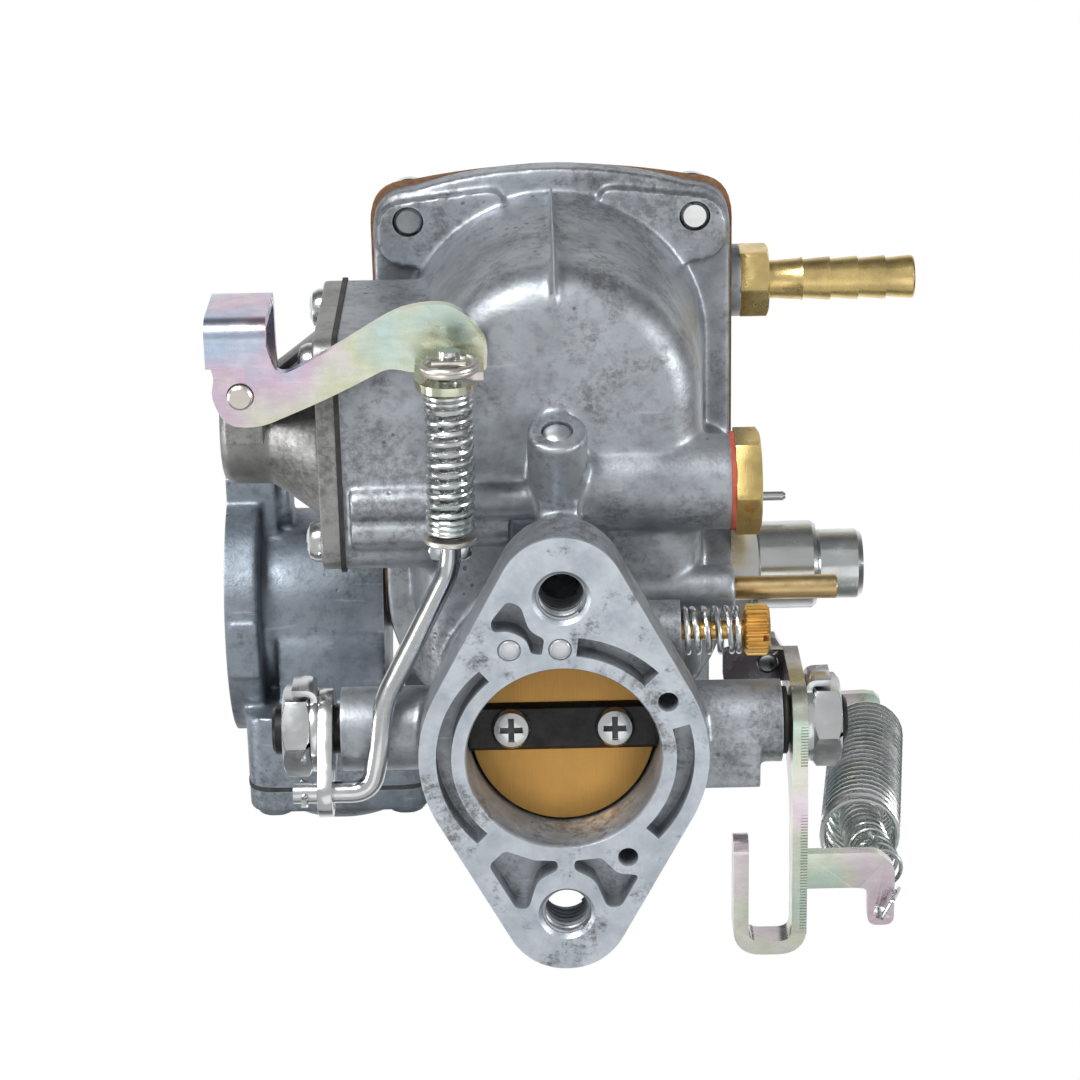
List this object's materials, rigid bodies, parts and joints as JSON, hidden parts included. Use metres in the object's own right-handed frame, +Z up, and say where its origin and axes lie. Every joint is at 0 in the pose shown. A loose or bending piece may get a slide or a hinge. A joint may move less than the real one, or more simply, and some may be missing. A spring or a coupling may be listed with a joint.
{
  "type": "carburetor",
  "caption": "Downdraft carburetor in cast metal with float bowl, throttle and choke spindles, diaphragm pump, choke drum, hose barb and a two-stud flange.",
  "frame": {"origin": "centre of the throttle bore on the manifold flange face", "axes": "+Z up along the bore towards the air horn, -Y towards the float bowl, +X towards the throttle lever and fuel barb"},
  "size_m": [0.1215, 0.1186, 0.1096],
  "materials": {
    "casting": "die-cast zinc, satin, mottled",
    "dark_casting": "die-cast zinc, darker",
    "zinc_steel": "zinc plated, faint iridescence",
    "brass": "turned brass",
    "bronze": "rolled brass, satin",
    "black_steel": "blackened steel",
    "gasket_paper": "oiled gasket paper",
    "red_fibre": "vulcanised fibre",
    "rubber": "matt",
    "black_plastic": "matt"
  },
  "bodies": {
    "carburetor_body": {"body_casting": "casting", "top_cover": "casting", "cover_gasket": "gasket_paper", "cover_screw_1": "zinc_steel", "cover_screw_2": "zinc_steel", "cover_screw_3": "zinc_steel", "cover_screw_4": "zinc_steel", "venturi": "casting", "float_pin": "zinc_steel", "needle_seat": "brass", "main_jet": "brass", "main_jet_plug": "brass", "plug_washer": "red_fibre", "fuel_inlet_barb": "brass", "idle_cutoff_valve": "zinc_steel", "vacuum_tube": "bronze", "breather_pin": "zinc_steel", "mixture_spring": "zinc_steel", "pump_cover": "dark_casting", "pump_diaphragm": "rubber", "pump_cover_screw_1": "zinc_steel", "pump_cover_screw_2": "zinc_steel", "pump_cover_screw_3": "zinc_steel", "pump_cover_screw_4": "zinc_steel", "pump_return_spring": "zinc_steel", "pump_lever_pin": "zinc_steel", "right_shaft_seal": "rubber", "outer_return_spring": "zinc_steel", "inner_return_spring": "zinc_steel", "spring_bracket": "zinc_steel", "choke_housing": "casting", "choke_cap": "black_plastic", "choke_ring": "zinc_steel", "choke_coil": "bronze", "vacuum_diaphragm": "rubber", "vacuum_cover": "casting"},
    "throttle": {"throttle_shaft": "black_steel", "throttle_plate": "bronze", "plate_screw_1": "zinc_steel", "plate_screw_2": "zinc_steel", "pump_arm": "zinc_steel", "left_tab_washer": "zinc_steel", "left_nut": "zinc_steel", "throttle_lever": "zinc_steel", "right_tab_washer": "zinc_steel", "right_nut": "zinc_steel"},
    "fast_idle_adjuster": {"fast_idle_screw": "zinc_steel"},
    "pump_link": {"pump_rod": "zinc_steel", "rod_spring": "zinc_steel", "rod_washer": "zinc_steel", "rod_clip": "zinc_steel", "rod_cotter": "zinc_steel"},
    "pump_bellcrank": {"pump_lever": "zinc_steel"},
    "pump_button": {"pump_plunger": "zinc_steel"},
    "choke": {"choke_shaft": "zinc_steel", "choke_plate": "bronze"},
    "bowl_float": {"float": "black_plastic"},
    "inlet_needle": {"needle_valve": "brass"},
    "idle_mixture": {"mixture_screw": "bronze"},
    "idle_solenoid_core": {"idle_cutoff_plunger": "zinc_steel"}
  },
  "joints": [
    {"name": "throttle_turn", "type": "hinge", "parent": "carburetor_body", "child": "throttle", "pos_m": [0, 0, 0.013], "axis": [-1, 0, 0], "range_deg": [0, 76], "deforming": ["outer_return_spring", "inner_return_spring"]},
    {"name": "fast_idle_screw_turn", "type": "hinge", "parent": "throttle", "child": "fast_idle_adjuster", "pos_m": [0.0334, -0.005, 0.03], "axis": [0, 0, 1], "range_deg": [-720, 720]},
    {"name": "pump_link_swing", "type": "hinge", "parent": "throttle", "child": "pump_link", "pos_m": [-0.037, 0.0065, 0.0035], "axis": [-1, 0, 0], "range_deg": [-76, 0], "deforming": ["rod_spring"]},
    {"name": "pump_lever_turn", "type": "hinge", "parent": "carburetor_body", "child": "pump_bellcrank", "pos_m": [-0.0493, -0.0525, 0.021], "axis": [0, 0, -1], "range_deg": [0, 21.28]},
    {"name": "pump_plunger_slide", "type": "slide", "parent": "carburetor_body", "child": "pump_button", "axis": [1, 0, 0], "range_m": [0, 0.00298], "deforming": ["pump_return_spring"]},
    {"name": "choke_turn", "type": "hinge", "parent": "carburetor_body", "child": "choke", "pos_m": [0, 0.004, 0.088], "axis": [1, 0, 0], "range_deg": [0, 70]},
    {"name": "float_swing", "type": "hinge", "parent": "carburetor_body", "child": "bowl_float", "pos_m": [0, -0.0645, 0.0635], "axis": [-1, 0, 0], "range_deg": [0, 6]},
    {"name": "needle_drop", "type": "slide", "parent": "carburetor_body", "child": "inlet_needle", "axis": [0, 0, -1], "range_m": [0, 0.00126]},
    {"name": "mixture_screw_turn", "type": "hinge", "parent": "carburetor_body", "child": "idle_mixture", "pos_m": [0.028, -0.0136, 0.018], "axis": [1, 0, 0], "range_deg": [-900, 900]},
    {"name": "idle_cutoff_slide", "type": "slide", "parent": "carburetor_body", "child": "idle_solenoid_core", "axis": [1, 0, 0], "range_m": [0, 0.003]}
  ],
  "couplings": [
    {"joint": "pump_link_swing", "follows": "throttle_turn", "ratio": -1},
    {"joint": "pump_lever_turn", "follows": "throttle_turn", "ratio": 0.28},
    {"joint": "pump_plunger_slide", "follows": "throttle_turn", "m_per_rad": 0.002243},
    {"joint": "needle_drop", "follows": "float_swing", "m_per_rad": 0.012}
  ]
}
